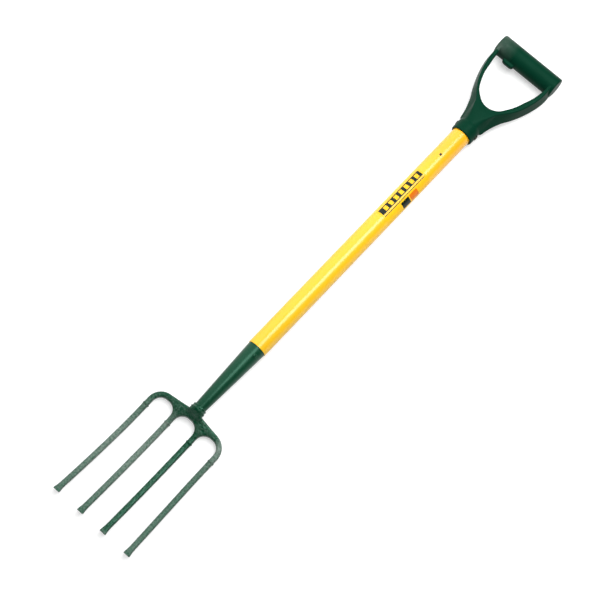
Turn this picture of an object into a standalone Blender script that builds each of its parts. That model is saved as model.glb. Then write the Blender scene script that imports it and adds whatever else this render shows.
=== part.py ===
"""Border fork: a forged four-tine head, a tapered steel socket, a sleeved tube shaft and a moulded D grip.

The fork lies on its back. +Y runs up the shaft from the tine tips to the grip, +Z is the tool's face and
+X is to the right, seen from that face. The origin is on the ground, under the middle of the tool.
Every piece is drawn in the tool's own frame, whose origin is on the shaft's axis at the top of the crown,
and hangs on one empty that puts that frame in its place.
"""
import math

import bmesh
import bpy
from mathutils import Vector

MM = 0.001
GAP = 0.3 * MM            # clearance between pieces that touch

# Lengths along the shaft
HEAD_LENGTH = 224.0 * MM      # tine tips to the top of the crown
SOCKET_LENGTH = 130.5 * MM    # top of the crown to the socket's mouth
SLEEVE_SHOWN = 475.3 * MM     # socket's mouth to the grip's mouth
GRIP_LENGTH = 183.3 * MM      # grip's mouth to the top of its bar

# Crown
TINE_WIDTH = 8.9 * MM
TINE_DEPTH = 9.0 * MM
TINE_CORNER = 2.4 * MM
INNER_TINE_X = 22.1 * MM
OUTER_TINE_X = 65.5 * MM
STUB_END = 41.0 * MM          # how far below the crown's top the tines are welded on
ARCH_TOP = 15.5 * MM          # how far below the crown's top the gaps between the tines begin
ARCH_RADIUS = 15.0 * MM
SHOULDER_RADIUS = 25.0 * MM
SHOULDER_DROP = 6.2 * MM
CROWN_TOP = 0.9 * MM
CROWN_DEPTH = 12.6 * MM       # depth of the forging at its middle
CROWN_GRID = 7.0 * MM
CROWN_SWEEP_RADIUS = 450.0 * MM   # its sweep, seen from the side
CROWN_LIFT = 4.0 * MM         # how far its middle is drawn up towards the shaft
CROWN_LIFT_REACH = 40.0 * MM  # half width of the lifted part
NECK_RADIUS = 12.0 * MM
NECK_FLARE = 5.0 * MM        # how much wider the neck is where it runs out on the crown
NECK_SUNK = 1.6 * MM          # how far the neck's foot lies below the crown's face
NECK_SECTIONS = 10
TANG_LENGTH = 46.0 * MM

# Tines
BELLY = 75.0 * MM             # how far below the crown's top the tines lie lowest
DISH_RADIUS = 1000.0 * MM     # their sweep, seen from the side
SPLAY_START = 75.0 * MM
OUTER_SPLAY = 4.6 * MM
INNER_SPLAY = 0.4 * MM
SPLAY_BEND = 1.25            # how gently the splay sets in
TIP_WIDTH = 11.2 * MM
TIP_CORNER = 1.2 * MM
TIP_DEPTH = 5.8 * MM
TIP_SPREAD = 12.0 * MM        # length of the flattened tip
TINE_TAPER = 0.9 * MM         # depth lost between the stub and the tip

# Socket and its weld
SOCKET_MOUTH_RADIUS = 15.05 * MM
SOCKET_FOOT_RADIUS = 9.3 * MM
SOCKET_WALL = 1.4 * MM
MOUTH_BREAK = 0.3 * MM        # broken edge of its mouth
WELD_RADIUS = 12.9 * MM
WELD_HEIGHT = 7.0 * MM
WELD_FOOT = 1.2 * MM          # plain foot of the bead
WELD_EDGE = 0.4 * MM
WELD_STEPS = 6
WELD_HOLLOW = 1.7             # how hollow the bead is

# Shaft
SLEEVE_RADIUS = 16.0 * MM
SLEEVE_EDGE = 0.5 * MM
TUBE_WALL = 1.4 * MM
TUBE_IN_SOCKET = 48.0 * MM
LOWER_PLUG_LENGTH = 40.0 * MM
LOWER_PLUG_DROP = 2.0 * MM      # its top below the socket's mouth
UPPER_PLUG_LENGTH = 112.0 * MM

# Grip
COLLAR_RADIUS = 19.4 * MM
COLLAR_RELIEF = 0.9 * MM      # how much slimmer the collar is above the band at its mouth
MOUTH_EDGE = 0.8 * MM
BORE_DEPTH = 42.0 * MM
WING_START = 21.0 * MM        # where the wings stand out of the collar, from the mouth
WING_STEP = 2.5 * MM
FACE_EASE = 24.0 * MM         # length over which the round collar turns into the flat face
YOKE_START = 2.0 * MM         # where the wings' outline would meet the collar
YOKE_END = 138.0 * MM
YOKE_HALF_WIDTH = 58.7 * MM
YOKE_DRAW = 1.5 * MM          # how far the arms draw in again to the ends of the bar
YOKE_DRAWN = 156.0 * MM       # where they have drawn in
ARM_START = 94.0 * MM         # where the arms reach their own depth
ARM_FRONT = 13.0 * MM
ARM_BACK = 11.0 * MM
WEB_FLANK = 13.0 * MM         # from the widest line to the flat face, beside the web
ARM_FLANK = 4.4 * MM          # the same along the arms
WEB_BACK_FLANK = 11.0 * MM    # from the widest line to the flat back, beside the web
ARM_BACK_FLANK = 1.4 * MM
SHELF = 4.5 * MM              # width of the wing beyond the scoop in the web's side
SHELF_Z = 4.0 * MM
SHELF_TURN = 32               # where the section's corners lie on the round collar, in degrees
FACE_TURN = 62
REAR_TURN = 56
GRIP_EASE = 1.6 * MM          # rounding of the grip's edges
GRIP_PITCH = 6.5 * MM         # spacing of the sections that the grip is drawn through
WEB_RIM_Z = -2.0 * MM         # level of the widest line beside the web, from the shaft's axis
ARM_RIM_Z = -8.0 * MM
CHEEK_START = 108.0 * MM      # where the arms begin to deepen towards the bar
CHEEK_DEPTH = 15.0 * MM
BAR_RADIUS = 17.5 * MM
BAR_HALF_LENGTH = 57.8 * MM
BAR_EDGE = 2.0 * MM
BAR_EDGE_STEPS = 3
OPENING_FOOT = 59.3 * MM      # bottom of the hand opening, from the mouth
OPENING_HALF_WIDTH = 49.5 * MM  # at the bar's axis
OPENING_PULL = 36.3 * MM      # how far out the flat foot of the opening pulls its curve
OPENING_WAIST = 49.4 * MM     # half width towards which the opening's sides lean
OPENING_WAIST_SHARE = 0.72   # its height, as a share from the foot to the bar's axis
OPENING_LIP = 2.2 * MM
LIP_ROUND = 0.3
OPENING_DRAW = 3.6 * MM       # how much further out the opening's wall is at the back than in front
LUG_X = -26.0 * MM
LUG_LENGTH = 22.0 * MM
LUG_HEIGHT = 5.4 * MM
LUG_DEPTH = 10.0 * MM
LUG_CORNER = 2.4 * MM
LUG_LEVELS = ((1, 0.5), (0.94, 0.68), (0.78, 0.84), (0.5, 0.95), (-0.5, 1))  # shares of its height and size

# Rivets and the pin
RIVET_RADIUS = 2.5 * MM
RIVET_HEAD_RADIUS = 4.2 * MM
RIVET_HEAD_HEIGHT = 1.1 * MM
RIVET_RIM_SHARE = 0.2           # the upright rim of a rivet's head, as a share of its height
SOCKET_RIVET_RADIUS = 2.0 * MM
SOCKET_RIVET_HEAD_RADIUS = 3.4 * MM
SOCKET_RIVET_HEAD_HEIGHT = 1.2 * MM
SOCKET_RIVET_DROP = 12.5 * MM   # below the socket's mouth
SOCKET_RIVET_TURN = math.radians(30)
GRIP_RIVET_RISE = 13.0 * MM     # above the grip's mouth
PIN_RADIUS = 1.0 * MM
PIN_HEAD_RADIUS = 2.1 * MM
PIN_HEAD_HEIGHT = 0.7 * MM
PIN_LENGTH = 18.0 * MM
PIN_POINT = 2.0 * MM
PIN_STEPS = 3                   # facets from the top of its head to the rim
PIN_DROP = 52.3 * MM            # below the grip's mouth

TINE_SECTIONS = 9
TIP_SECTIONS = 4
ROUND_STEPS = 48
SMALL_STEPS = 16
MERGE_DISTANCE = 0.01 * MM
SECTION_POINTS = 40
OPENING_POINTS = 18
RING_STEPS = 4                # points along each side of the grip's section

# Places that follow from the sizes
LENGTH = HEAD_LENGTH + SOCKET_LENGTH + SLEEVE_SHOWN + GRIP_LENGTH
CROWN_Y = HEAD_LENGTH - LENGTH / 2
AXIS_HEIGHT = max(COLLAR_RADIUS, BAR_RADIUS)
BELLY_Z = TINE_DEPTH / 2 - AXIS_HEIGHT
MOUTH_Y = SOCKET_LENGTH
GRIP_Y = SOCKET_LENGTH + SLEEVE_SHOWN
BAR_Y = GRIP_Y + GRIP_LENGTH - BAR_RADIUS
TUBE_RADIUS = SOCKET_MOUTH_RADIUS - SOCKET_WALL - GAP
TUBE_TOP = GRIP_Y + BORE_DEPTH - GAP
SLEEVE_BORE = TUBE_RADIUS + GAP
PLUG_RADIUS = TUBE_RADIUS - TUBE_WALL - GAP

GREEN_PAINT = (0.035, 0.135, 0.085)
GREEN_PLASTIC = (0.012, 0.085, 0.045)
YELLOW = (0.95, 0.60, 0.03)
STEEL = (0.45, 0.46, 0.45)
WOOD = (0.55, 0.38, 0.20)


def clear_scene():
    for thing in list(bpy.data.objects):
        bpy.data.objects.remove(thing)


def make_collection(name):
    group = bpy.data.collections.new(name)
    bpy.context.scene.collection.children.link(group)
    return group


def make_material(name, colour, roughness, metallic):
    material = bpy.data.materials.new(name)
    material.use_nodes = True
    shader = material.node_tree.nodes["Principled BSDF"]
    shader.inputs["Base Color"].default_value = (*colour, 1.0)
    shader.inputs["Roughness"].default_value = roughness
    shader.inputs["Metallic"].default_value = metallic
    return material


def add_object(name, mesh, material=None):
    """A piece when it has a material, and otherwise a guide that only cuts or joins."""
    thing = bpy.data.objects.new(name, mesh)
    thing.parent = tool_frame
    if material:
        mesh.materials.append(material)
        mesh.shade_smooth()
        mesh.set_sharp_from_angle(angle=math.radians(35))
        pieces.objects.link(thing)
    else:
        guides.objects.link(thing)
        thing.hide_render = True
        thing.display_type = "WIRE"
    return thing


def turned(name, profile, material=None, closed=False, steps=ROUND_STEPS):
    """A profile of (radius, height) turned about local Z, which lies along the shaft."""
    mesh = bpy.data.meshes.new(name)
    points = [(radius, 0.0, height) for radius, height in profile]
    edges = [(i, i + 1) for i in range(len(points) - 1)]
    if closed:
        edges.append((len(points) - 1, 0))
    mesh.from_pydata(points, edges, [])
    thing = add_object(name, mesh, material)
    thing.rotation_euler = (-math.pi / 2, 0, 0)
    screw = thing.modifiers.new("turn", "SCREW")
    screw.steps = steps
    screw.render_steps = steps
    screw.use_merge_vertices = True
    screw.merge_threshold = MERGE_DISTANCE
    screw.use_smooth_shade = True
    return thing


def boolean(thing, other, operation="DIFFERENCE"):
    modifier = thing.modifiers.new(other.name, "BOOLEAN")
    modifier.operation = operation
    modifier.object = other
    modifier.solver = "EXACT"


def loft(name, sections, material=None):
    """A closed skin through sections with equal counts of points, capped at both ends."""
    skin = bmesh.new()
    rings = [[skin.verts.new(point) for point in section] for section in sections]
    count = len(rings[0])
    for low, high in zip(rings, rings[1:]):
        for i in range(count):
            j = (i + 1) % count
            skin.faces.new((low[i], low[j], high[j], high[i]))
    skin.faces.new(rings[0][::-1])
    skin.faces.new(rings[-1])
    bmesh.ops.recalc_face_normals(skin, faces=skin.faces)
    mesh = bpy.data.meshes.new(name)
    skin.to_mesh(mesh)
    skin.free()
    return add_object(name, mesh, material)


def arc(centre, radius, start, end, count):
    """Points on an arc in the plan, with angles in degrees, both ends included."""
    angles = [math.radians(start + (end - start) * i / count) for i in range(count + 1)]
    return [(centre[0] + radius * math.cos(a), centre[1] + radius * math.sin(a)) for a in angles]


def rounded_box(x, y, z, half_width, half_depth, corner):
    """A box with round corners in the plane across the shaft at y."""
    points = []
    for turn, side_x, side_z in ((0, 1, 1), (90, -1, 1), (180, -1, -1), (270, 1, -1)):
        centre = (x + side_x * (half_width - corner), z + side_z * (half_depth - corner))
        points += [(px, y, pz) for px, pz in arc(centre, corner, turn, turn + 90, 4)]
    return points


def disc(y, radius):
    """A circle round the shaft's axis."""
    angles = [2 * math.pi * i / SECTION_POINTS for i in range(SECTION_POINTS)]
    return [(radius * math.cos(a), y, radius * math.sin(a)) for a in angles]


def smooth(value):
    """0 to 1 with level ends."""
    value = min(max(value, 0.0), 1.0)
    return value * value * (3 - 2 * value)


def blend(low, high, share):
    return low + (high - low) * share


def dish(y):
    """Height of the tines' and crown's middle surface: an arc each, seen from the side."""
    offset = y + BELLY
    radius = CROWN_SWEEP_RADIUS if offset > 0 else DISH_RADIUS
    return BELLY_Z + radius - math.sqrt(radius ** 2 - offset ** 2)


def crown_lift(x, y):
    """How far the crown's middle stands above the sweep, where it runs out into the neck."""
    return CROWN_LIFT * (1 - smooth(abs(x) / CROWN_LIFT_REACH)) * (1 - smooth(-y / STUB_END))


def socket_radius(y):
    share = y / SOCKET_LENGTH
    return SOCKET_FOOT_RADIUS + (SOCKET_MOUTH_RADIUS - SOCKET_FOOT_RADIUS) * share


def crown_outline():
    """Half of the crown's plan: from the top's middle, round the shoulder and the stubs, to the arch."""
    half = TINE_WIDTH / 2
    shoulder = (OUTER_TINE_X + half - SHOULDER_RADIUS, -SHOULDER_DROP - SHOULDER_RADIUS)
    slope = math.degrees(math.atan2(SHOULDER_DROP - CROWN_TOP, shoulder[0]))
    arch_y = -ARCH_TOP - ARCH_RADIUS
    outline = [(0.0, -CROWN_TOP)]
    outline += arc(shoulder, SHOULDER_RADIUS, 90 - slope, 0, 10)
    outline += [(OUTER_TINE_X + half, -STUB_END), (OUTER_TINE_X - half, -STUB_END)]
    outline += arc((OUTER_TINE_X - half - ARCH_RADIUS, arch_y), ARCH_RADIUS, 0, 90, 8)
    outline += arc((INNER_TINE_X + half + ARCH_RADIUS, arch_y), ARCH_RADIUS, 90, 180, 8)
    outline += [(INNER_TINE_X + half, -STUB_END), (INNER_TINE_X - half, -STUB_END)]
    outline += arc((INNER_TINE_X - half - ARCH_RADIUS, arch_y), ARCH_RADIUS, 0, 90, 8)
    return outline


def crown_plate():
    """The yoke: its plan extruded and rounded, cut into a grid, swept to the dish and thinned outwards."""
    right = crown_outline()
    left = [(-x, y) for x, y in right[:0:-1]]
    plate = bmesh.new()
    face = plate.faces.new([plate.verts.new((x, y, -TINE_DEPTH / 2)) for x, y in right + left])
    made = bmesh.ops.extrude_face_region(plate, geom=[face])
    raised = [item for item in made["geom"] if isinstance(item, bmesh.types.BMVert)]
    bmesh.ops.translate(plate, verts=raised, vec=(0, 0, TINE_DEPTH))
    bmesh.ops.recalc_face_normals(plate, faces=plate.faces)
    rim = []
    for edge in plate.edges:
        flat_faces = [face for face in edge.link_faces if abs(face.normal.z) > 0.5]
        on_cut = all(vert.co.y < GAP - STUB_END for vert in edge.verts)
        if len(flat_faces) == 1 and not on_cut:
            rim.append(edge)
    bmesh.ops.bevel(plate, geom=rim, offset=TINE_CORNER, segments=3, profile=0.5, affect="EDGES")
    columns = int(OUTER_TINE_X / CROWN_GRID)
    cuts = [((i * CROWN_GRID, 0, 0), (1, 0, 0)) for i in range(-columns, columns + 1)]
    cuts += [((0, -i * CROWN_GRID, 0), (0, 1, 0)) for i in range(1, int(STUB_END / CROWN_GRID) + 1)]
    for place, normal in cuts:
        geometry = plate.verts[:] + plate.edges[:] + plate.faces[:]
        bmesh.ops.bisect_plane(plate, geom=geometry, plane_co=place, plane_no=normal)
    bmesh.ops.remove_doubles(plate, verts=plate.verts, dist=MERGE_DISTANCE)
    for vert in plate.verts:
        middle = (1 - smooth(abs(vert.co.x) / OUTER_TINE_X)) * (1 - smooth(-vert.co.y / STUB_END))
        depth = TINE_DEPTH + (CROWN_DEPTH - TINE_DEPTH) * middle
        vert.co.z = vert.co.z * depth / TINE_DEPTH + dish(vert.co.y) + crown_lift(vert.co.x, vert.co.y)
    mesh = bpy.data.meshes.new("crown")
    plate.to_mesh(mesh)
    plate.free()
    return mesh


def neck_section(share):
    """The neck across the shaft: low and spread at its foot, on the crown, and round at the weld."""
    y = (CROWN_TOP - ARCH_TOP) * (1 - share)
    grown = smooth(share)
    centre = (dish(y) + crown_lift(0, y)) * (1 - grown)
    foot_depth = CROWN_DEPTH / 2 - NECK_SUNK
    half_depth = foot_depth + (NECK_RADIUS - foot_depth) * grown
    points = []
    for i in range(SECTION_POINTS):
        turn = 2 * math.pi * i / SECTION_POINTS
        reach = NECK_RADIUS + NECK_FLARE * (1 - grown) * math.cos(turn) ** 2
        points.append((reach * math.cos(turn), y, centre + half_depth * math.sin(turn)))
    return points


def make_crown(paint):
    """The yoke with its neck, which rises out of it to the shaft's axis and ends in the tang."""
    crown = add_object("crown", crown_plate(), paint)
    tang_radius = socket_radius(0) - SOCKET_WALL - GAP
    sections = [neck_section(i / NECK_SECTIONS) for i in range(NECK_SECTIONS + 1)]
    sections += [
        disc(0, tang_radius),
        disc(TANG_LENGTH - tang_radius / 2, tang_radius),
        disc(TANG_LENGTH, tang_radius / 2),
    ]
    neck = loft("neck guide", sections)
    boolean(crown, neck, "UNION")
    return crown


def make_tine(name, side, root_x, splay, paint):
    """A tine lofted from its weld to its flat, square-cut tip."""
    sections = []
    start = STUB_END + GAP
    straight = HEAD_LENGTH - TIP_SPREAD - start
    stations = [start + straight * i / TINE_SECTIONS for i in range(TINE_SECTIONS + 1)]
    stations += [HEAD_LENGTH - TIP_SPREAD * (1 - i / TIP_SECTIONS) for i in range(1, TIP_SECTIONS + 1)]
    for below in stations:
        outward = max(below - SPLAY_START, 0) / (HEAD_LENGTH - SPLAY_START)
        x = side * (root_x + splay * outward ** SPLAY_BEND)
        share = (below - start) / (HEAD_LENGTH - start)
        spread = smooth((below - HEAD_LENGTH + TIP_SPREAD) / TIP_SPREAD)
        width = blend(TINE_WIDTH, TIP_WIDTH, spread)
        depth = blend(TINE_DEPTH - TINE_TAPER * share, TIP_DEPTH, spread)
        corner = blend(TINE_CORNER, TIP_CORNER, spread)
        sections.append(rounded_box(x, -below, dish(-below), width / 2, depth / 2, corner))
    return loft(name, sections, paint)


def make_socket(paint):
    foot = GAP
    profile = [
        (SOCKET_MOUTH_RADIUS - SOCKET_WALL, MOUTH_Y),
        (SOCKET_MOUTH_RADIUS - MOUTH_BREAK, MOUTH_Y),
        (SOCKET_MOUTH_RADIUS, MOUTH_Y - MOUTH_BREAK),
        (socket_radius(foot), foot),
        (socket_radius(foot) - SOCKET_WALL, foot),
    ]
    return turned("socket", profile, paint, closed=True)


def make_neck_weld(paint):
    top = GAP + WELD_HEIGHT
    inner_top = socket_radius(top) + GAP
    inner_foot = socket_radius(GAP) + GAP
    throat = WELD_RADIUS - inner_top - WELD_EDGE
    profile = [(inner_top, top)]
    for i in range(WELD_STEPS + 1):
        share = i / WELD_STEPS
        radius = inner_top + WELD_EDGE + throat * share ** WELD_HOLLOW
        profile.append((radius, top - WELD_EDGE - (WELD_HEIGHT - WELD_EDGE - WELD_FOOT) * share))
    profile += [(WELD_RADIUS, GAP + WELD_EDGE), (WELD_RADIUS - WELD_EDGE, GAP), (inner_foot, GAP)]
    return turned("neck_weld", profile, paint, closed=True)


def make_shaft_tube(steel):
    """Straight tube whose lower end is drawn down to the socket's taper."""
    low = MOUTH_Y - TUBE_IN_SOCKET
    low_radius = socket_radius(low) - SOCKET_WALL - GAP
    profile = [
        (TUBE_RADIUS - TUBE_WALL, TUBE_TOP),
        (TUBE_RADIUS, TUBE_TOP),
        (TUBE_RADIUS, MOUTH_Y),
        (low_radius, low),
        (low_radius - TUBE_WALL, low),
        (TUBE_RADIUS - TUBE_WALL, MOUTH_Y),
    ]
    return turned("shaft_tube", profile, steel, closed=True)


def make_shaft_sleeve(plastic):
    foot = MOUTH_Y + GAP
    profile = [
        (SLEEVE_BORE, TUBE_TOP),
        (SLEEVE_RADIUS - SLEEVE_EDGE, TUBE_TOP),
        (SLEEVE_RADIUS, TUBE_TOP - SLEEVE_EDGE),
        (SLEEVE_RADIUS, foot + SLEEVE_EDGE),
        (SLEEVE_RADIUS - SLEEVE_EDGE, foot),
        (SLEEVE_BORE, foot),
    ]
    return turned("shaft_sleeve", profile, plastic, closed=True)


def make_lower_plug(wood):
    """Plug inside the tapered end of the tube, round the socket's rivet."""
    top = MOUTH_Y - LOWER_PLUG_DROP
    low = top - LOWER_PLUG_LENGTH
    top_radius = socket_radius(top) - SOCKET_WALL - TUBE_WALL - 2 * GAP
    low_radius = socket_radius(low) - SOCKET_WALL - TUBE_WALL - 2 * GAP
    profile = [(0, top), (top_radius, top), (low_radius, low), (0, low)]
    return turned("lower_plug", profile, wood)


def make_upper_plug(wood):
    low = TUBE_TOP - UPPER_PLUG_LENGTH
    profile = [(0, TUBE_TOP), (PLUG_RADIUS, TUBE_TOP), (PLUG_RADIUS, low), (0, low)]
    return turned("upper_plug", profile, wood)


def rivet_profile(radius, head_radius, head_height, half_grip):
    """Half of a solid rivet with a domed head at each end, from the top of one head to the other."""
    dome = [(head_radius * math.sin(a), half_grip + head_height * math.cos(a))
            for a in (math.radians(15 * i) for i in range(6))]
    rim = half_grip + RIVET_RIM_SHARE * head_height
    side = dome + [(head_radius, rim), (head_radius, half_grip), (radius, half_grip)]
    return side + [(r, -height) for r, height in side[::-1]]


def rod(name, radius, half_length, steps=SMALL_STEPS):
    """Guide for a drilled hole, centred on local Z."""
    profile = [(0, half_length), (radius, half_length), (radius, -half_length), (0, -half_length)]
    return turned(name, profile, steps=steps)


def make_socket_rivet(steel):
    """Rivet across the socket, turned to the right of its front."""
    y = MOUTH_Y - SOCKET_RIVET_DROP
    half_grip = socket_radius(y) + GAP
    profile = rivet_profile(
        SOCKET_RIVET_RADIUS, SOCKET_RIVET_HEAD_RADIUS, SOCKET_RIVET_HEAD_HEIGHT, half_grip)
    rivet = turned("socket_rivet", profile, steel, steps=SMALL_STEPS)
    hole = rod("socket rivet hole", SOCKET_RIVET_RADIUS + GAP, SLEEVE_RADIUS * 2)
    for thing in (rivet, hole):
        thing.location = (0, y, 0)
        thing.rotation_euler = (0, SOCKET_RIVET_TURN, 0)
    return hole


def make_grip_rivet(steel):
    """Rivet from side to side through the grip's collar."""
    y = GRIP_Y + GRIP_RIVET_RISE
    half_grip = COLLAR_RADIUS + GAP
    profile = rivet_profile(RIVET_RADIUS, RIVET_HEAD_RADIUS, RIVET_HEAD_HEIGHT, half_grip)
    rivet = turned("grip_rivet", profile, steel, steps=SMALL_STEPS)
    hole = rod("grip rivet hole", RIVET_RADIUS + GAP, SLEEVE_RADIUS * 2)
    for thing in (rivet, hole):
        thing.location = (0, y, 0)
        thing.rotation_euler = (0, math.pi / 2, 0)
    return hole


def make_sleeve_pin(steel):
    """Panel pin driven through the front of the sleeve and the tube into the plug."""
    y = GRIP_Y - PIN_DROP
    top = SLEEVE_RADIUS + GAP
    profile = []
    for i in range(PIN_STEPS + 1):
        turn = math.pi / 2 * i / PIN_STEPS
        profile.append((PIN_HEAD_RADIUS * math.sin(turn), top + PIN_HEAD_HEIGHT * math.cos(turn)))
    profile += [(PIN_RADIUS, top), (PIN_RADIUS, top - PIN_LENGTH + PIN_POINT), (0, top - PIN_LENGTH)]
    pin = turned("sleeve_pin", profile, steel, steps=SMALL_STEPS)
    hole_foot = top - PIN_LENGTH - GAP
    hole = rod("pin hole", PIN_RADIUS + GAP, SLEEVE_RADIUS)
    pin.location = (0, y, 0)
    hole.location = (0, y, hole_foot + SLEEVE_RADIUS)
    for thing in (pin, hole):
        thing.rotation_euler = (0, 0, 0)
    return hole


def arm_share(rise):
    """0 on the web and 1 where the arms have their own section."""
    return smooth((rise - BORE_DEPTH) / (ARM_START - BORE_DEPTH))


def yoke_half_width(rise):
    share = smooth((rise - YOKE_START) / (YOKE_END - YOKE_START))
    drawn = smooth((rise - YOKE_END) / (YOKE_DRAWN - YOKE_END))
    return blend(COLLAR_RADIUS, YOKE_HALF_WIDTH, share) - YOKE_DRAW * drawn


def yoke_depths(rise):
    """How far the grip reaches in front of the shaft's axis, and behind it."""
    arm = arm_share(rise)
    cheek = smooth((rise - CHEEK_START) / (BAR_Y - GRIP_Y - CHEEK_START))
    web = COLLAR_RADIUS - COLLAR_RELIEF
    front = blend(web, ARM_FRONT, arm) + (CHEEK_DEPTH - ARM_FRONT) * cheek
    back = blend(web, ARM_BACK, arm) + (CHEEK_DEPTH - ARM_BACK) * cheek
    return front, back


def collar_radius(rise):
    """The collar's outside: an eased mouth, a plain band and a slimmer neck under the wings."""
    band = GRIP_RIVET_RISE + RIVET_HEAD_RADIUS
    relief = smooth((rise - band) / (WING_START - band))
    mouth = max(MOUTH_EDGE - rise, 0)
    return COLLAR_RADIUS - mouth - COLLAR_RELIEF * relief


def eased_ring(corners):
    """A ring round the corners, each rounded: places, turns on a plain circle and shares of flatness."""
    ring = []
    for index, (x, z, turn, share) in enumerate(corners):
        after_x, after_z, after_turn, after_share = corners[(index + 1) % len(corners)]
        corner = Vector((x, z))
        before = Vector(corners[index - 1][:2])
        after = Vector((after_x, after_z))
        arrival = corner + (before - corner).normalized() * GRIP_EASE
        start = corner + (after - corner).normalized() * GRIP_EASE
        end = after + (corner - after).normalized() * GRIP_EASE
        ring.append((corner / 2 + (arrival + start) / 4, math.radians(turn), share))
        for step in range(RING_STEPS):
            place = start.lerp(end, step / (RING_STEPS - 1))
            part = (step + 1) / (RING_STEPS + 1)
            swing = turn + ((after_turn - turn) % 360) * part
            ring.append((place, math.radians(swing), blend(share, after_share, part)))
    return ring


def yoke_section(rise):
    """The grip's outer form across the shaft: round at the collar, then a flat face with scooped flanks."""
    half_width = yoke_half_width(rise)
    arm = arm_share(rise)
    front, back = yoke_depths(rise)
    face = half_width - blend(WEB_FLANK, ARM_FLANK, arm)
    rear = half_width - blend(WEB_BACK_FLANK, ARM_BACK_FLANK, arm)
    rim = blend(WEB_RIM_Z, ARM_RIM_Z, arm)
    shelf = half_width - blend(SHELF, ARM_FLANK / 2, arm)
    shelf_z = blend(SHELF_Z, (front + rim) / 2, arm)
    wing = smooth((rise - WING_START) / WING_STEP)
    flat = smooth((rise - WING_START) / FACE_EASE)
    right = [
        (half_width, rim, 0, wing),
        (shelf, shelf_z, SHELF_TURN, wing),
        (face, front, FACE_TURN, flat),
    ]
    left = [(-x, z, 180 - turn, share) for x, z, turn, share in right[::-1]]
    corners = right + left + [(-rear, -back, 180 + REAR_TURN, flat), (rear, -back, -REAR_TURN, flat)]
    points = []
    for place, turn, share in eased_ring(corners):
        round_point = Vector((math.cos(turn), math.sin(turn))) * collar_radius(rise)
        points.append(round_point.lerp(place, share))
    return [(point.x, GRIP_Y + rise, point.y) for point in points]


def opening_outline():
    """The hand opening, from its corner at the bar, round its foot and back, as two Bezier curves."""
    top = BAR_Y - GRIP_Y
    points = [
        Vector((OPENING_HALF_WIDTH, top)),
        Vector((OPENING_WAIST, blend(OPENING_FOOT, top, OPENING_WAIST_SHARE))),
        Vector((OPENING_PULL, OPENING_FOOT)),
        Vector((0, OPENING_FOOT)),
    ]
    half = []
    for i in range(OPENING_POINTS + 1):
        t = i / OPENING_POINTS
        u = 1 - t
        near = points[0] * u ** 3 + points[1] * 3 * u * u * t
        half.append(near + points[2] * 3 * u * t * t + points[3] * t ** 3)
    return half + [Vector((-point.x, point.y)) for point in half[-2::-1]]


def opening_guide():
    """The hand opening, wider at the back and flared at both faces so that its edges are rounded."""
    outline = opening_outline()
    centre = Vector((0, (OPENING_FOOT + BAR_Y - GRIP_Y) / 2))
    flare = [(-1, 0), (-LIP_ROUND, LIP_ROUND), (0, 1), (1, 2)]
    levels = [(side, *step) for side, steps in ((-1, flare[::-1]), (1, flare)) for step in steps]
    sections = []
    for side, proud, away_share in [(-1, None, 2)] + levels + [(1, None, 2)]:
        section = []
        for point in outline:
            front, back = yoke_depths(point.y)
            face = front if side > 0 else back
            z = 2 * COLLAR_RADIUS if proud is None else face + proud * OPENING_LIP
            drawn = 0 if side > 0 else OPENING_DRAW
            away = (point - centre).normalized() * (OPENING_LIP * away_share + drawn)
            section.append((point.x + away.x, GRIP_Y + point.y + away.y, side * z))
        sections.append(section)
    return loft("opening guide", sections)


def bar_guide():
    """The bar that the hand closes on: a cylinder with eased ends."""
    profile = [(0, BAR_HALF_LENGTH)]
    for i in range(BAR_EDGE_STEPS + 1):
        turn = math.pi / 2 * i / BAR_EDGE_STEPS
        out = BAR_RADIUS - BAR_EDGE * (1 - math.sin(turn))
        profile.append((out, BAR_HALF_LENGTH - BAR_EDGE * (1 - math.cos(turn))))
    profile += [(radius, -height) for radius, height in profile[::-1]]
    bar = turned("bar guide", profile)
    bar.location = (0, BAR_Y, 0)
    bar.rotation_euler = (0, math.pi / 2, 0)
    return bar


def lug_guide():
    """The small tab under the bar."""
    underside = BAR_Y - BAR_RADIUS
    sections = []
    for drop, share in LUG_LEVELS:
        half_length = LUG_LENGTH / 2 * share
        half_depth = LUG_DEPTH / 2 * share
        y = underside - LUG_HEIGHT * drop
        sections.append(rounded_box(LUG_X, y, 0, half_length, half_depth, LUG_CORNER))
    return loft("lug guide", sections)


def make_grip(plastic):
    """The moulded D grip: collar and arms, with the opening cut out, joined to the bar."""
    reach = BAR_Y - GRIP_Y
    rises = [0, MOUTH_EDGE, GRIP_RIVET_RISE + RIVET_HEAD_RADIUS]
    rises += [WING_START + WING_STEP * share for share in (0, 0.5, 1)]
    count = round((reach - rises[-1]) / GRIP_PITCH)
    pitch = (reach - rises[-1]) / count
    rises += [WING_START + WING_STEP + pitch * i for i in range(1, count + 1)]
    grip = loft("grip", [yoke_section(rise) for rise in rises], plastic)
    boolean(grip, opening_guide())
    boolean(grip, bar_guide(), "UNION")
    boolean(grip, lug_guide(), "UNION")
    bore = rod("bore guide", SLEEVE_RADIUS + GAP, BORE_DEPTH, steps=ROUND_STEPS)
    bore.location = (0, GRIP_Y, 0)
    boolean(grip, bore)
    return grip


clear_scene()
pieces = make_collection("border fork")
guides = make_collection("guides")
tool_frame = bpy.data.objects.new("tool frame", None)
tool_frame.location = (0, CROWN_Y, AXIS_HEIGHT)
pieces.objects.link(tool_frame)

green_paint = make_material("green paint", GREEN_PAINT, 0.38, 0.0)
green_plastic = make_material("green plastic", GREEN_PLASTIC, 0.42, 0.0)
yellow_plastic = make_material("yellow plastic", YELLOW, 0.35, 0.0)
plain_steel = make_material("plain steel", STEEL, 0.4, 1.0)
plug_wood = make_material("plug wood", WOOD, 0.7, 0.0)

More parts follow.
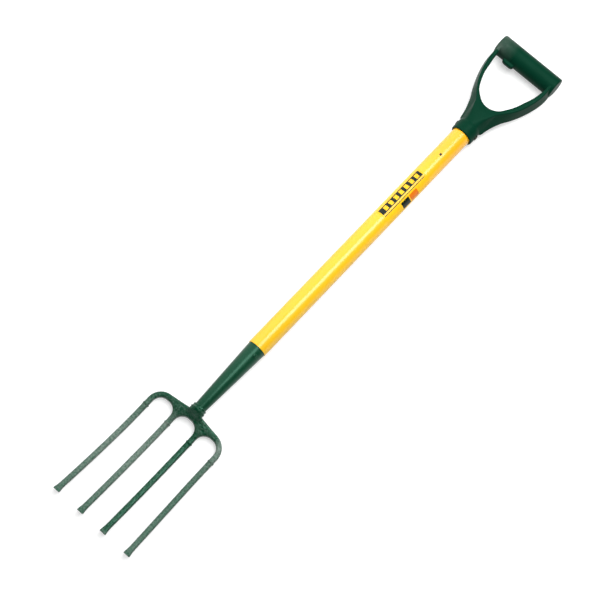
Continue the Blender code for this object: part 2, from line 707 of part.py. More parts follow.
make_crown(green_paint)
make_tine("outer_tine_left", -1, OUTER_TINE_X, OUTER_SPLAY, green_paint)
make_tine("inner_tine_left", -1, INNER_TINE_X, INNER_SPLAY, green_paint)
make_tine("inner_tine_right", 1, INNER_TINE_X, INNER_SPLAY, green_paint)
make_tine("outer_tine_right", 1, OUTER_TINE_X, OUTER_SPLAY, green_paint)
make_neck_weld(green_paint)
socket = make_socket(green_paint)
shaft_tube = make_shaft_tube(plain_steel)
shaft_sleeve = make_shaft_sleeve(yellow_plastic)
lower_plug = make_lower_plug(plug_wood)
upper_plug = make_upper_plug(plug_wood)
grip = make_grip(green_plastic)

socket_rivet_hole = make_socket_rivet(green_paint)
for piece in (socket, shaft_tube, lower_plug):
    boolean(piece, socket_rivet_hole)
grip_rivet_hole = make_grip_rivet(plain_steel)
for piece in (grip, shaft_sleeve, shaft_tube, upper_plug):
    boolean(piece, grip_rivet_hole)
pin_hole = make_sleeve_pin(plain_steel)
for piece in (shaft_sleeve, shaft_tube, upper_plug):
    boolean(piece, pin_hole)
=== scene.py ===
"""Border fork, dressed: green painted head, yellow sleeved shaft and green grip, on a pale floor."""
import math

import bpy
from mathutils import Matrix, Vector


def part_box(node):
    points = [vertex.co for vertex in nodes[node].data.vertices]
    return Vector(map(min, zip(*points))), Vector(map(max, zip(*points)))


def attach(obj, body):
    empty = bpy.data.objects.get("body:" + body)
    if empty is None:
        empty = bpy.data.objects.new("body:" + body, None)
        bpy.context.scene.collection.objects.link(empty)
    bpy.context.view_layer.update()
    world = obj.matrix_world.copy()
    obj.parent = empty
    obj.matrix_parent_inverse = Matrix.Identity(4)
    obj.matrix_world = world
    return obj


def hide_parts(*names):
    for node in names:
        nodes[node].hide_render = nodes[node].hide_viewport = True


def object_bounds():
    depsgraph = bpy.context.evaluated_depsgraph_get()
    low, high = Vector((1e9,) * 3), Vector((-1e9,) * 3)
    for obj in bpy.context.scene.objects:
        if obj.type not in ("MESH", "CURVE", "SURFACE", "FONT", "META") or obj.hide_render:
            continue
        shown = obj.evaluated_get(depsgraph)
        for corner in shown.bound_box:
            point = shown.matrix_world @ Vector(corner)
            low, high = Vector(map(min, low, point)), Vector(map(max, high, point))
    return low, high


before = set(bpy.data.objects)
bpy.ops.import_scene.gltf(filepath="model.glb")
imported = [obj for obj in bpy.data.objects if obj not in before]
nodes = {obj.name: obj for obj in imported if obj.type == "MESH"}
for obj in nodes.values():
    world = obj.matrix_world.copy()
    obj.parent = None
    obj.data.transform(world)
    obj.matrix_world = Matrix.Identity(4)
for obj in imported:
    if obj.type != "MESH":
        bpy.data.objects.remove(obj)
cad_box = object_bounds()
MM = 0.001

# Forged head
# The crown and its four square tines are steel, forged and welded end to end, with a bead round each
# weld, and the neck is welded round the socket's foot. All of it is dipped in green paint, which sits
# deep and even on the crown and goes dusty and pale along the tines, where the paleness is also a
# painted sheen; the right shoulder holds a painted highlight.
TINES = ("outer_tine_left", "inner_tine_left", "inner_tine_right", "outer_tine_right")
MERGE_REACH = 0.01 * MM
WELD_REACH = 0.1 * MM
BEAD_RADIUS = 4.75 * MM
BEAD_THICKNESS = 1.15 * MM
BEAD_SEGMENTS = (48, 16)
NECK_BEAD_RADIUS = 9.9 * MM
NECK_BEAD_THICKNESS = 2.0 * MM
NECK_BEAD_SUNK = 1.4 * MM
VOXEL = 0.8 * MM
EASE = {"factor": 0.5, "iterations": 5}
TIP_KEPT = 5 * MM
HAMMERED_GRAIN = 3.5 * MM
HAMMERED_DEPTH = 0.45 * MM

# paint: it is rougher where it is dusty. The mottle is noise of a scale and detail, and the pairs below
# it are the factor and the addend that turn it into shares of dust and painted sheen
DEEP_PAINT = (0.001, 0.041, 0.017)
DUST_AND_SHEEN_PAINT = (0.205, 0.245, 0.218)
PAINT_GLOSS = (0.45, 1.0, 0.75)
PAINT_SPECULAR = 0.36
HEAD_ROUGH = 0.15
ROUGH_WITH_DUST = 0.9
MOST_ROUGH = 0.46
MOTTLE = (330, 4)
DUST_AND_SHEEN_PATCHES = (2.0, 0.95)
DUST_SPECKS = 0.45
CLEAN_MOTTLE = (0.10, 0.01)

# bumps in the paint's skin: scale, detail and depth
HEAD_SKIN = ((170, 3, 1.2 * MM), (600, 2, 0.35 * MM))

# dust and painted sheen on each tine: x of its middle in mm, then the share at its root, a third down
# it and at its tip
TINE_DUST_AND_SHEEN = ((-67, 0.32, 0.68, 0.33), (-22, 0.55, 0.66, 0.30), (22, 0.0, 0.06, 0.05), (67, 0.42, 0.27, 0.36))
TIP_DUST_AND_SHEEN = 0.25
TIP_SHARE_FROM = 7 * MM
TIP_SHARE_FADE = 4 * MM
CROWN_DUST = 0.09
CROWN_DEPTH = 20 * MM
# painted highlight: from this x outwards the crown's right shoulder is mixed pale
SHOULDER_PAINTED_HIGHLIGHT = 0.80
SHOULDER_FROM = 48 * MM
SHOULDER_FADE = 12 * MM
NECK_REACH = 24 * MM


def only(thing):
    """Selects one object alone."""
    bpy.ops.object.select_all(action="DESELECT")
    thing.select_set(True)
    bpy.context.view_layer.objects.active = thing


def join_into(thing):
    """Joins all that is selected into one object."""
    thing.select_set(True)
    bpy.context.view_layer.objects.active = thing
    bpy.ops.object.join()


def apply_modifier(thing, kind, **settings):
    """Adds a modifier with its settings and applies it."""
    modifier = thing.modifiers.new(kind.lower(), kind)
    for key, value in settings.items():
        setattr(modifier, key, value)
    only(thing)
    bpy.ops.object.modifier_apply(modifier=modifier.name)


def copy_of(name, *sources):
    """One new piece from the merged meshes of some CAD nodes."""
    bpy.ops.object.select_all(action="DESELECT")
    made = []
    for source in sources:
        thing = bpy.data.objects.new(name, nodes[source].data.copy())
        bpy.context.scene.collection.objects.link(thing)
        thing.data.materials.clear()
        thing.select_set(True)
        made.append(thing)
    bpy.context.view_layer.objects.active = made[0]
    if len(made) > 1:
        join_into(made[0])
    made[0].name = name
    bpy.ops.object.mode_set(mode="EDIT")
    bpy.ops.mesh.select_all(action="SELECT")
    bpy.ops.mesh.remove_doubles(threshold=MERGE_REACH)
    bpy.ops.object.mode_set(mode="OBJECT")
    return made[0]


def welded_end(tine):
    """Middle of the end by which a tine is welded on."""
    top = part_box(tine)[1][1]
    ends = [vert.co for vert in nodes[tine].data.vertices if vert.co.y > top - WELD_REACH]
    return sum(ends, Vector()) / len(ends)


def blend(low, high, share):
    """A value between two others, for a share that may run past its ends."""
    return low + (high - low) * min(max(share, 0.0), 1.0)


def dust_and_sheen_at(place):
    """Share of pale paint at a place on the head: dusting, and a painted sheen on the tines and a
    painted highlight on the right shoulder.
    """
    tine_x, at_root, at_third, at_tip = min(TINE_DUST_AND_SHEEN, key=lambda entry: abs(entry[0] * MM - place.x))
    thirds = 3 * (root_y - place.y) / (root_y - tip_y)
    on_tine = blend(blend(at_root, at_third, thirds), at_tip, (thirds - 1) / 2)
    on_crown = blend(CROWN_DUST, SHOULDER_PAINTED_HIGHLIGHT, (place.x - SHOULDER_FROM) / SHOULDER_FADE)
    on_crown = blend(0, on_crown, 2 * (place - neck_place).length / NECK_REACH - 1)
    arch_y = crown_y - CROWN_DEPTH
    share = blend(on_crown, on_tine, (arch_y - place.y) / (arch_y - root_y))
    return blend(share, TIP_DUST_AND_SHEEN, (tip_y + TIP_SHARE_FROM - place.y) / TIP_SHARE_FADE)


def principled(name, **values):
    """A material with its Principled shader's own sockets set."""
    material = bpy.data.materials.new(name)
    material.use_nodes = True
    shader = material.node_tree.nodes["Principled BSDF"]
    for key, value in values.items():
        socket = shader.inputs[key.replace("_", " ")]
        socket.default_value = (*value, 1.0) if isinstance(value, tuple) else value
    return material


def feed(material, name, socket):
    """Links a socket to one of the material's shader."""
    tree = material.node_tree
    tree.links.new(socket, tree.nodes["Principled BSDF"].inputs[name])


def noise(tree, scale, detail, stretch=(1, 1, 1)):
    """Noise in the piece's own place, stretched if asked."""
    place = tree.nodes.new("ShaderNodeTexCoord")
    mapping = tree.nodes.new("ShaderNodeMapping")
    mapping.inputs["Scale"].default_value = stretch
    pattern = tree.nodes.new("ShaderNodeTexNoise")
    pattern.inputs["Scale"].default_value = scale
    pattern.inputs["Detail"].default_value = detail
    tree.links.new(place.outputs["Object"], mapping.inputs["Vector"])
    tree.links.new(mapping.outputs["Vector"], pattern.inputs["Vector"])
    return pattern.outputs["Fac"]


def calculate(tree, operation, *values):
    """A Math node on sockets and numbers."""
    node = tree.nodes.new("ShaderNodeMath")
    node.operation = operation
    for socket, value in zip(node.inputs, values):
        if isinstance(value, bpy.types.NodeSocket):
            tree.links.new(value, socket)
        else:
            socket.default_value = value
    return node.outputs["Value"]


def clamped(tree, value):
    """A socket's value kept between 0 and 1."""
    return calculate(tree, "MINIMUM", calculate(tree, "MAXIMUM", value, 0.0), 1.0)


def mix_colour(tree, share, first, second):
    """A Mix node on two colours."""
    node = tree.nodes.new("ShaderNodeMix")
    node.data_type = "RGBA"
    sockets = {socket.identifier: socket for socket in node.inputs}
    for identifier, value in (("Factor_Float", share), ("A_Color", first), ("B_Color", second)):
        socket = sockets[identifier]
        if isinstance(value, bpy.types.NodeSocket):
            tree.links.new(value, socket)
        else:
            socket.default_value = (*value, 1.0)
    return next(socket for socket in node.outputs if socket.identifier == "Result_Color")


def add_bump(material, *layers):
    """Bumps one over the other, each of (height, depth in metres)."""
    tree = material.node_tree
    normal = None
    for height, depth in layers:
        bump = tree.nodes.new("ShaderNodeBump")
        bump.inputs["Distance"].default_value = depth
        tree.links.new(height, bump.inputs["Height"])
        if normal:
            tree.links.new(normal, bump.inputs["Normal"])
        normal = bump.outputs["Normal"]
    feed(material, "Normal", normal)


def green_paint(name, least_rough, skin, with_dust_and_sheen=False):
    """Dipped green paint, mottled, with a pebbled skin, and pale dusting and painted sheen where the
    attribute asks for it.
    """
    material = principled(name, Specular_IOR_Level=PAINT_SPECULAR, Specular_Tint=PAINT_GLOSS)
    tree = material.node_tree
    mottle = calculate(tree, "SUBTRACT", noise(tree, *MOTTLE), 0.5)
    if with_dust_and_sheen:
        attribute = tree.nodes.new("ShaderNodeAttribute")
        attribute.attribute_name = "dust_and_sheen"
        patches = calculate(tree, "MULTIPLY_ADD", mottle, *DUST_AND_SHEEN_PATCHES)
        share = calculate(tree, "MULTIPLY", attribute.outputs["Fac"], patches)
        share = calculate(tree, "MULTIPLY_ADD", mottle, DUST_SPECKS, share)
    else:
        share = calculate(tree, "MULTIPLY_ADD", mottle, *CLEAN_MOTTLE)
    share = clamped(tree, share)
    feed(material, "Base Color", mix_colour(tree, share, DEEP_PAINT, DUST_AND_SHEEN_PAINT))
    rough = calculate(tree, "MULTIPLY_ADD", share, ROUGH_WITH_DUST, least_rough)
    feed(material, "Roughness", calculate(tree, "MINIMUM", rough, MOST_ROUGH))
    add_bump(material, *((noise(tree, scale, detail), depth) for scale, detail, depth in skin))
    return material


head = copy_of("forged_head", "crown", *TINES, "neck_weld")
weld_low, weld_high = (Vector(corner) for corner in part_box("neck_weld"))
neck_place = Vector((0, weld_high.y - NECK_BEAD_SUNK, (weld_low.z + weld_high.z) / 2))
beads = [(welded_end(tine), BEAD_RADIUS, BEAD_THICKNESS) for tine in TINES]
for place, radius, thickness in beads + [(neck_place, NECK_BEAD_RADIUS, NECK_BEAD_THICKNESS)]:
    bpy.ops.object.select_all(action="DESELECT")
    bpy.ops.mesh.primitive_torus_add(location=place, rotation=(math.pi / 2, 0, 0),
                                     major_radius=radius, minor_radius=thickness,
                                     major_segments=BEAD_SEGMENTS[0], minor_segments=BEAD_SEGMENTS[1])
    join_into(head)
apply_modifier(head, "REMESH", mode="VOXEL", voxel_size=VOXEL, use_smooth_shade=True)
tip_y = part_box(TINES[0])[0][1]
eased = head.vertex_groups.new(name="eased")
eased.add([vert.index for vert in head.data.vertices if vert.co.y > tip_y + TIP_KEPT], 1.0, "REPLACE")
apply_modifier(head, "SMOOTH", vertex_group="eased", **EASE)
hammered = bpy.data.textures.new("hammered", "CLOUDS")
hammered.noise_scale = HAMMERED_GRAIN
apply_modifier(head, "DISPLACE", texture=hammered, texture_coords="LOCAL", strength=HAMMERED_DEPTH,
               mid_level=0.5)

# the hammered skin stays inside the solids' box
root_y = welded_end(TINES[0]).y
crown_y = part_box("socket")[0][1]
for vert in head.data.vertices:
    vert.co = [min(max(value, low), high) for value, low, high in zip(vert.co, *cad_box)]
# the attribute holds dust and painted light: a painted sheen on the tines and a painted highlight on
# the right shoulder
dust_and_sheen = head.data.attributes.new("dust_and_sheen", "FLOAT", "POINT")
dust_and_sheen.data.foreach_set("value", [dust_and_sheen_at(vert.co) for vert in head.data.vertices])
head.data.materials.append(green_paint("head paint", HEAD_ROUGH, HEAD_SKIN, with_dust_and_sheen=True))
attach(head, "root")
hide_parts("crown", *TINES, "neck_weld")

# Socket
# A steel tube, drawn to a taper and open at its mouth, where its edge is broken. It is painted with the
# head and its rivet, but its drawn skin is smoother, so the paint dries to an even satin on it.
SOCKET_SIDES = 96
SOCKET_FOOT_RADIUS = 9.3 * MM
SOCKET_WALL = 1.4 * MM
SOCKET_LIP = 0.4 * MM
FOOT_REACH = 1 * MM
SOCKET_ROUGH = 0.34
SOCKET_SKIN = ((60, 2, 0.25 * MM), (700, 2, 0.03 * MM))
LIP_SEGMENTS = 3
LIP_ANGLE = math.radians(50)
SMOOTH_ANGLE = math.radians(40)
socket_low, socket_high = (Vector(corner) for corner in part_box("socket"))
axis_z = (socket_low.z + socket_high.z) / 2
mouth_radius = (socket_high.x - socket_low.x) / 2


def select_where(thing, kind, test):
    """Goes into edit mode with just the corners or faces selected whose place passes the test."""
    only(thing)
    bpy.ops.object.mode_set(mode="EDIT")
    bpy.ops.mesh.select_mode(type=kind)
    bpy.ops.mesh.select_all(action="DESELECT")
    bpy.ops.object.mode_set(mode="OBJECT")
    if kind == "VERT":
        for vert in thing.data.vertices:
            vert.select = test(vert.co)
    else:
        for face in thing.data.polygons:
            face.select = test(face.center)
    bpy.ops.object.mode_set(mode="EDIT")


def add_pipe(name, radius, low_y, high_y, sides):
    """An open pipe along the shaft, with its place in its mesh."""
    bpy.ops.object.select_all(action="DESELECT")
    bpy.ops.mesh.primitive_cylinder_add(vertices=sides, radius=radius, depth=high_y - low_y,
                                        end_fill_type="NOTHING", rotation=(-math.pi / 2, 0, 0),
                                        location=(0, (low_y + high_y) / 2, axis_z))
    pipe = bpy.context.object
    pipe.name = name
    bpy.ops.object.transform_apply(location=True, rotation=True, scale=True)
    return pipe


def shade_smooth(thing):
    """Smooths all but the sharp edges."""
    only(thing)
    bpy.ops.object.shade_smooth_by_angle(angle=SMOOTH_ANGLE)


def give_wall(thing, wall, lip):
    """Turns an open skin into a wall with broken edges."""
    apply_modifier(thing, "SOLIDIFY", thickness=wall, offset=-1)
    apply_modifier(thing, "BEVEL", width=lip, segments=LIP_SEGMENTS, limit_method="ANGLE",
                   angle_limit=LIP_ANGLE)
    shade_smooth(thing)


def dress(name, material):
    """Gives its material to a CAD node that is shown as it is."""
    nodes[name].data.materials.clear()
    nodes[name].data.materials.append(material)


socket = add_pipe("tapered_socket", mouth_radius, socket_low.y, socket_high.y, SOCKET_SIDES)
select_where(socket, "VERT", lambda place: place.y < socket_low.y + FOOT_REACH)
taper = SOCKET_FOOT_RADIUS / mouth_radius
bpy.ops.transform.resize(value=(taper, 1, taper), center_override=(0, socket_low.y, axis_z))
bpy.ops.object.mode_set(mode="OBJECT")
give_wall(socket, SOCKET_WALL, SOCKET_LIP)
socket_paint = green_paint("socket paint", SOCKET_ROUGH, SOCKET_SKIN)
socket.data.materials.append(socket_paint)
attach(socket, "root")
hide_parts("socket")
dress("socket_rivet", socket_paint)

# Tube and plugs
# A drawn steel tube runs from the socket up into the grip, with fine drawing lines along its bare skin.
# In each end sits a turned hardwood plug, pressed in, which the rivets and the pin bite into.
STEEL_PALE, STEEL_DARK = (0.44, 0.44, 0.43), (0.34, 0.34, 0.33)
STEEL_ROUGH = 0.38
DRAWN_STREAKS = (30, 4, (20, 1, 20))
DRAWN_LINES = (30, 3, (40, 1, 40))
DRAWN_DEPTH = 0.02 * MM
WOOD_PALE, WOOD_DARK = (0.58, 0.40, 0.21), (0.30, 0.17, 0.07)
WOOD_ROUGH = 0.75
WOOD_GRAIN = (60, 4, (8, 1, 8))


def vary(material, pattern, first, second):
    """Lets a material's colour run between two along a pattern."""
    feed(material, "Base Color", mix_colour(material.node_tree, pattern, first, second))


steel = principled("drawn steel", Metallic=1.0, Roughness=STEEL_ROUGH)
vary(steel, noise(steel.node_tree, *DRAWN_STREAKS), STEEL_DARK, STEEL_PALE)
add_bump(steel, (noise(steel.node_tree, *DRAWN_LINES), DRAWN_DEPTH))
dress("shaft_tube", steel)
wood = principled("plug wood", Roughness=WOOD_ROUGH)
vary(wood, noise(wood.node_tree, *WOOD_GRAIN), WOOD_DARK, WOOD_PALE)
dress("lower_plug", wood)
dress("upper_plug", wood)

# Sleeve
# A yellow plastic tube, extruded over the steel one, glossy, with the faint lines of its die along it.
# Its colour runs a little between lemon and amber, and turns darker and golden towards the grip: a
# painted shade.
SLEEVE_SIDES = 128
SLEEVE_WALL = 2.3 * MM
SLEEVE_LIP = 0.5 * MM
SLEEVE_ROUGH = 0.27
SLEEVE_GLOSS = 0.60
LEMON = (1.000, 0.620, 0.018)
AMBER = (1.000, 0.545, 0.010)
SHADED_GOLDEN = (0.980, 0.490, 0.010)
SHADE_FROM, SHADE_LENGTH = 0.19, 0.10
CLOUDING = (14, 3)
DIE_LINES, DIE_DEPTH = (50, 2, (14, 0.4, 14)), 0.012 * MM
SLEEVE_GRAIN, SLEEVE_GRAIN_DEPTH = (500, 2), 0.01 * MM
sleeve_low, sleeve_high = (Vector(corner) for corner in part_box("shaft_sleeve"))
sleeve_radius = (sleeve_high.x - sleeve_low.x) / 2


def split_place(tree):
    """The piece's own X, Y and Z as sockets."""
    place = tree.nodes.new("ShaderNodeTexCoord")
    split = tree.nodes.new("ShaderNodeSeparateXYZ")
    tree.links.new(place.outputs["Object"], split.inputs["Vector"])
    return split.outputs["X"], split.outputs["Y"], split.outputs["Z"]


def sleeve_plastic(name, gloss):
    """The sleeve's yellow plastic, and its colour's socket for what is printed over it."""
    material = principled(name, Roughness=SLEEVE_ROUGH, Specular_IOR_Level=gloss)
    tree = material.node_tree
    colour = mix_colour(tree, noise(tree, *CLOUDING), LEMON, AMBER)
    # painted shade: up the shaft towards the grip the yellow is mixed darker and golden
    up_shaft = calculate(tree, "SUBTRACT", split_place(tree)[1], SHADE_FROM)
    up_shaft = clamped(tree, calculate(tree, "MULTIPLY", up_shaft, 1 / SHADE_LENGTH))
    colour = mix_colour(tree, up_shaft, colour, SHADED_GOLDEN)
    feed(material, "Base Color", colour)
    add_bump(material, (noise(tree, *DIE_LINES), DIE_DEPTH),
             (noise(tree, *SLEEVE_GRAIN), SLEEVE_GRAIN_DEPTH))
    return material, colour


sleeve = add_pipe("shaft_cover", sleeve_radius, sleeve_low.y, sleeve_high.y, SLEEVE_SIDES)
give_wall(sleeve, SLEEVE_WALL, SLEEVE_LIP)
sleeve.data.materials.append(sleeve_plastic("yellow sleeve", SLEEVE_GLOSS)[0])
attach(sleeve, "root")
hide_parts("shaft_sleeve")

# Label
# A clear film on the sleeve's face, below the grip. Its print is plain: a dark panel with a row of even
# yellow blocks, one thin line beside it, and a dark and an orange stripe round the right side.
LABEL_SIDES = 360
LABEL_LOW, LABEL_HIGH = 0.1305, 0.2295
LABEL_TURNS = (3, 128)
FILM_PROUD = 0.06 * MM
FILM_THICKNESS = 0.05 * MM
FILM_GLOSS = 0.25
PRINT_MARGIN = 3 * MM
PRINT_INK = (0.006, 0.014, 0.008)
PANEL_TURNS = (84, 126)
BLOCK_TURNS = (90, 119)
BLOCK_PITCH = 12.0 * MM
BLOCK_SHARE = 0.55
BLOCKS_FROM = 9 * MM
LINE_TURNS = (70, 74)
STRIPE_TURNS = (14, 60)
DARK_STRIPE = (0.167, 0.184)
ORANGE_STRIPE = (0.186, 0.203)
ORANGE = (0.800, 0.190, 0.008)


def turn_of(place):
    """Turn of a place round the shaft, in degrees."""
    return math.degrees(math.atan2(place.z - axis_z, place.x))


def between(tree, value, low, high):
    """1 where a value lies between two others."""
    return calculate(tree, "MULTIPLY", calculate(tree, "GREATER_THAN", value, low),
                     calculate(tree, "LESS_THAN", value, high))


label = add_pipe("plain_label", sleeve_radius + FILM_PROUD, LABEL_LOW, LABEL_HIGH, LABEL_SIDES)
select_where(label, "FACE", lambda place: not LABEL_TURNS[0] < turn_of(place) < LABEL_TURNS[1])
bpy.ops.mesh.delete(type="FACE")
bpy.ops.object.mode_set(mode="OBJECT")
apply_modifier(label, "SOLIDIFY", thickness=FILM_THICKNESS, offset=-1)
shade_smooth(label)

label_print, yellow = sleeve_plastic("label film", FILM_GLOSS)
tree = label_print.node_tree
across, along, height = split_place(tree)
lift = calculate(tree, "SUBTRACT", height, axis_z)
turn = calculate(tree, "MULTIPLY", calculate(tree, "ARCTAN2", lift, across), math.degrees(1))
steps = calculate(tree, "DIVIDE", calculate(tree, "SUBTRACT", along, LABEL_LOW), BLOCK_PITCH)
blocks = calculate(tree, "LESS_THAN", calculate(tree, "FRACT", steps), BLOCK_SHARE)
for part in (between(tree, along, LABEL_LOW + BLOCKS_FROM, LABEL_HIGH - PRINT_MARGIN),
             between(tree, turn, *BLOCK_TURNS)):
    blocks = calculate(tree, "MULTIPLY", blocks, part)
ink = calculate(tree, "SUBTRACT", between(tree, turn, *PANEL_TURNS), blocks)
ink = calculate(tree, "ADD", ink, between(tree, turn, *LINE_TURNS))
printed = between(tree, along, LABEL_LOW + PRINT_MARGIN, LABEL_HIGH - PRINT_MARGIN)
ink = calculate(tree, "MULTIPLY", ink, printed)
on_stripes = between(tree, turn, *STRIPE_TURNS)
dark = calculate(tree, "MULTIPLY", between(tree, along, *DARK_STRIPE), on_stripes)
orange = calculate(tree, "MULTIPLY", between(tree, along, *ORANGE_STRIPE), on_stripes)
colour = mix_colour(tree, calculate(tree, "ADD", ink, dark), yellow, PRINT_INK)
feed(label_print, "Base Color", mix_colour(tree, orange, colour, ORANGE))
label.data.materials.append(label_print)
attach(label, "root")

# Pin
# A short steel pin with a small flat head, blackened with use. It is driven through the sleeve and the
# tube into the upper plug, and keeps them from turning on each other.
BLACKENED, WORN = (0.045, 0.041, 0.034), (0.075, 0.066, 0.052)
PIN_ROUGH = 0.5
PIN_PATCHES = (400, 3)
PIN_GRAIN, PIN_GRAIN_DEPTH = (900, 2), 0.02 * MM
dark_steel = principled("pin steel", Metallic=1.0, Roughness=PIN_ROUGH)
vary(dark_steel, noise(dark_steel.node_tree, *PIN_PATCHES), BLACKENED, WORN)
add_bump(dark_steel, (noise(dark_steel.node_tree, *PIN_GRAIN), PIN_GRAIN_DEPTH))
dress("sleeve_pin", dark_steel)

# Grip
# One moulding in green plastic: a collar round the shaft, a web that parts into two arms, and a bar
# across them. Its skin is spark-eroded to a fine grain, and the mould's halves meet in a line round it.
# The bar's left end is mixed paler on top: a painted highlight.
GRIP_GREEN = (0.0012, 0.029, 0.0145)
GRIP_GREEN_PALE = (0.0022, 0.037, 0.0195)
GRIP_ROUGH = 0.42
GRIP_GLOSS = 0.06
GRIP_CLOUDING = (40, 4)
GRIP_GRAIN, GRIP_GRAIN_DEPTH = (900, 2), 0.09 * MM
PARTING_DROP = 8 * MM
PARTING_HALF = 0.22 * MM
PARTING_RISE = 0.10 * MM
BAR_WIDTH = 35 * MM
BAR_HIGHLIGHT_FROM = 24 * MM
BAR_HIGHLIGHT_LENGTH = 30 * MM
BAR_HIGHLIGHT_HEIGHT = 12 * MM
BAR_HIGHLIGHT_STRENGTH = 0.24
BAR_HIGHLIGHT_PATCHES = (120, 4)
BAR_HIGHLIGHT_MOTTLE = (1.6, 0.2)

# stations along the shaft (y, value) in mm: the middle of an arm from the axis, how far the arms'
# outsides are drawn towards the axis, and how far their insides are shifted to the left
ARM_MIDDLE = ((340, 14), (390, 22), (400, 33), (410, 38), (420, 43), (430, 47), (440, 49), (460, 52))
OUTSIDE_DRAWN = ((350, 0), (365, 1.6), (385, 2.6), (400, 1.4), (435, 1.2), (450, 0.9), (468, 0))
INSIDE_SHIFTED = ((390, 0), (400, 2.0), (430, 1.8), (448, 0))
ARM_BLEND = 3 * MM


def at_station(table, y):
    """Value of a table at a place along the shaft, with straight lines between its stations."""
    for (low, first), (high, second) in zip(table, table[1:]):
        if y < high * MM:
            return blend(first, second, (y / MM - low) / (high - low))
    return table[-1][1]


def slim_arm(place):
    """Draws the arms' outsides in and shifts the opening between them."""
    off_middle = abs(place.x) - at_station(ARM_MIDDLE, place.y) * MM
    outside = blend(0, 1, off_middle / (2 * ARM_BLEND) + 0.5)
    drawn = math.copysign(at_station(OUTSIDE_DRAWN, place.y) * MM, place.x)
    place.x -= blend(at_station(INSIDE_SHIFTED, place.y) * MM, drawn, outside)


grip = copy_of("moulded_grip", "grip")
apply_modifier(grip, "REMESH", mode="VOXEL", voxel_size=VOXEL, use_smooth_shade=True)
for vert in grip.data.vertices:
    slim_arm(vert.co)
apply_modifier(grip, "SMOOTH", **EASE)

grip_plastic = principled("grip plastic", Roughness=GRIP_ROUGH, Specular_IOR_Level=GRIP_GLOSS,
                          Specular_Tint=PAINT_GLOSS)
tree = grip_plastic.node_tree
across, along, height = split_place(tree)
# painted highlight on the bar's left end: paler towards the end and on top, in patches
towards_end = calculate(tree, "MAXIMUM", calculate(tree, "SUBTRACT", -BAR_HIGHLIGHT_FROM, across), 0.0)
painted_highlight = calculate(tree, "MULTIPLY", towards_end, BAR_HIGHLIGHT_STRENGTH / BAR_HIGHLIGHT_LENGTH)
on_bar = calculate(tree, "GREATER_THAN", along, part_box("grip")[1][1] - BAR_WIDTH)
lift = calculate(tree, "SUBTRACT", height, axis_z)
on_top = clamped(tree, calculate(tree, "MULTIPLY", lift, 1 / BAR_HIGHLIGHT_HEIGHT))
patchy = calculate(tree, "MULTIPLY_ADD", noise(tree, *BAR_HIGHLIGHT_PATCHES), *BAR_HIGHLIGHT_MOTTLE)
for share in (on_bar, on_top, patchy):
    painted_highlight = calculate(tree, "MULTIPLY", painted_highlight, share)
green = mix_colour(tree, noise(tree, *GRIP_CLOUDING), GRIP_GREEN, GRIP_GREEN_PALE)
feed(grip_plastic, "Base Color", mix_colour(tree, painted_highlight, green, DUST_AND_SHEEN_PAINT))
off_line = calculate(tree, "ABSOLUTE", calculate(tree, "SUBTRACT", height, axis_z - PARTING_DROP))
line = calculate(tree, "LESS_THAN", off_line, PARTING_HALF)
add_bump(grip_plastic, (line, PARTING_RISE), (noise(tree, *GRIP_GRAIN), GRIP_GRAIN_DEPTH))
grip.data.materials.append(grip_plastic)
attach(grip, "root")
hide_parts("grip")

# Grip rivet
# A steel rivet that runs from side to side through the collar, the sleeve, the tube and the plug, and
# locks the grip to the shaft. Its domed heads are as dark as the pin.
dress("grip_rivet", dark_steel)

# Studio
# The fork lies on a pale floor with a low backdrop far round it, white to the camera where no shadow
# falls. A broad soft light stands at the left and a long one hangs overhead along the shaft.
FLOOR_GREY = (0.62, 0.62, 0.62)
FLOOR_ROUGH = 0.9
FLOOR_GLOW = 0.50
FLOOR_NEAR = 1.0
FLOOR_RISE = 0.5
BACKDROP_RADIUS = 40.0
BACKDROP_HEIGHT = 6.0
BACKDROP_SIDES = 96
WORLD_STRENGTH = 0.12

# lights: name, place, what they face, width and height in metres, and power in watts
LIGHTS = (("left softbox", (-1.6, 0.6, 1.4), (0, 0.0, 0), (2.8, 3.0), 43),
          ("overhead strip", (0.45, 0.95, 2.7), (0, 0.8, 0), (1.3, 2.7), 93))
CAMERA_SIDE = math.radians(10.03)
CAMERA_LOW = math.radians(15.71)
CAMERA_ROLL = math.radians(43.84)
CAMERA_DISTANCE = 2.6128
CAMERA_TARGET = Vector((-0.00394, -0.05058, 0.0194))
CAMERA_LENS = 103.7
CAMERA_SENSOR = 36


def put(name, data, place, across, up, facing):
    """A lamp or camera at a place, with its own three directions."""
    thing = bpy.data.objects.new(name, data)
    bpy.context.scene.collection.objects.link(thing)
    thing.matrix_world = Matrix.Translation(place) @ Matrix((across, up, facing)).transposed().to_4x4()
    return thing


def add_area(name, place, target, size, power):
    """A rectangular lamp that faces a target."""
    lamp = bpy.data.lights.new(name, "AREA")
    lamp.shape = "RECTANGLE"
    lamp.size, lamp.size_y = size
    lamp.energy = power
    facing = (Vector(place) - Vector(target)).normalized()
    across = Vector((0, 1, 0)).cross(facing).normalized()
    put(name, lamp, place, across, facing.cross(across), facing)


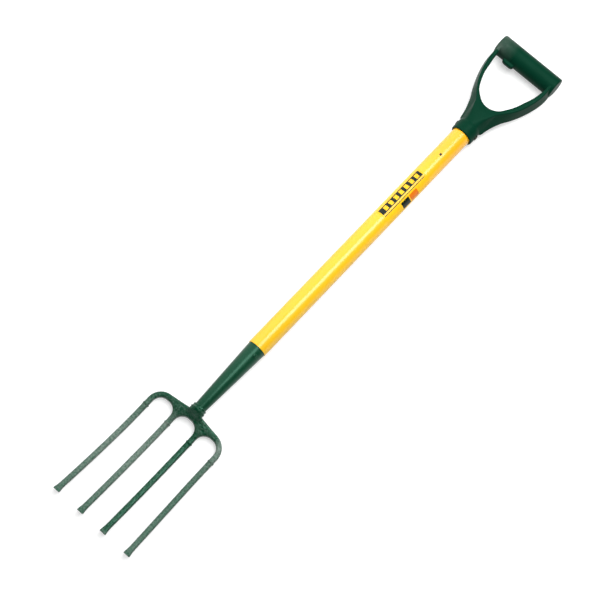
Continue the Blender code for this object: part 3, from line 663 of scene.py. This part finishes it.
floor_paint = principled("floor white", Base_Color=FLOOR_GREY, Roughness=FLOOR_ROUGH,
                         Emission_Color=(1.0, 1.0, 1.0))
tree = floor_paint.node_tree
rays = tree.nodes.new("ShaderNodeLightPath")
seen = calculate(tree, "MAXIMUM", rays.outputs["Is Camera Ray"], rays.outputs["Is Glossy Ray"])
seen = calculate(tree, "MAXIMUM", seen, rays.outputs["Is Transmission Ray"])
place = tree.nodes.new("ShaderNodeTexCoord")
reach = tree.nodes.new("ShaderNodeVectorMath")
reach.operation = "LENGTH"
tree.links.new(place.outputs["Object"], reach.inputs["Vector"])
far = calculate(tree, "MAXIMUM", calculate(tree, "SUBTRACT", reach.outputs["Value"], FLOOR_NEAR), 0.0)
glow = calculate(tree, "MINIMUM", calculate(tree, "MULTIPLY_ADD", far, FLOOR_RISE, FLOOR_GLOW), 1.0)
feed(floor_paint, "Emission Strength", calculate(tree, "MULTIPLY", seen, glow))

bpy.ops.object.select_all(action="DESELECT")
bpy.ops.mesh.primitive_plane_add(size=2 * BACKDROP_RADIUS, location=(0, 0, 0))
floor = bpy.context.object
floor.name = "floor"
floor.data.materials.append(floor_paint)
bpy.ops.object.select_all(action="DESELECT")
bpy.ops.mesh.primitive_cylinder_add(vertices=BACKDROP_SIDES, radius=BACKDROP_RADIUS,
                                    depth=BACKDROP_HEIGHT, end_fill_type="NOTHING",
                                    location=(0, 0, BACKDROP_HEIGHT / 2))
backdrop = bpy.context.object
backdrop.name = "backdrop"
backdrop.data.materials.append(floor_paint)

world = bpy.data.worlds.new("studio")
bpy.context.scene.world = world
world.use_nodes = True
background = world.node_tree.nodes["Background"]
background.inputs["Color"].default_value = (1, 1, 1, 1)
background.inputs["Strength"].default_value = WORLD_STRENGTH
for light in LIGHTS:
    add_area(*light)

away = Vector((math.sin(CAMERA_SIDE), -math.sin(CAMERA_LOW) * math.cos(CAMERA_SIDE),
               math.cos(CAMERA_LOW) * math.cos(CAMERA_SIDE)))
right = Vector((0, 1, 0)).cross(away).normalized()
up = away.cross(right)
camera = put("camera", bpy.data.cameras.new("camera"), CAMERA_TARGET + away * CAMERA_DISTANCE,
             right * math.cos(CAMERA_ROLL) + up * math.sin(CAMERA_ROLL),
             up * math.cos(CAMERA_ROLL) - right * math.sin(CAMERA_ROLL), away)
camera.data.lens = CAMERA_LENS
camera.data.sensor_width = CAMERA_SENSOR
bpy.context.scene.camera = camera
bpy.context.scene.view_settings.view_transform = "Standard"
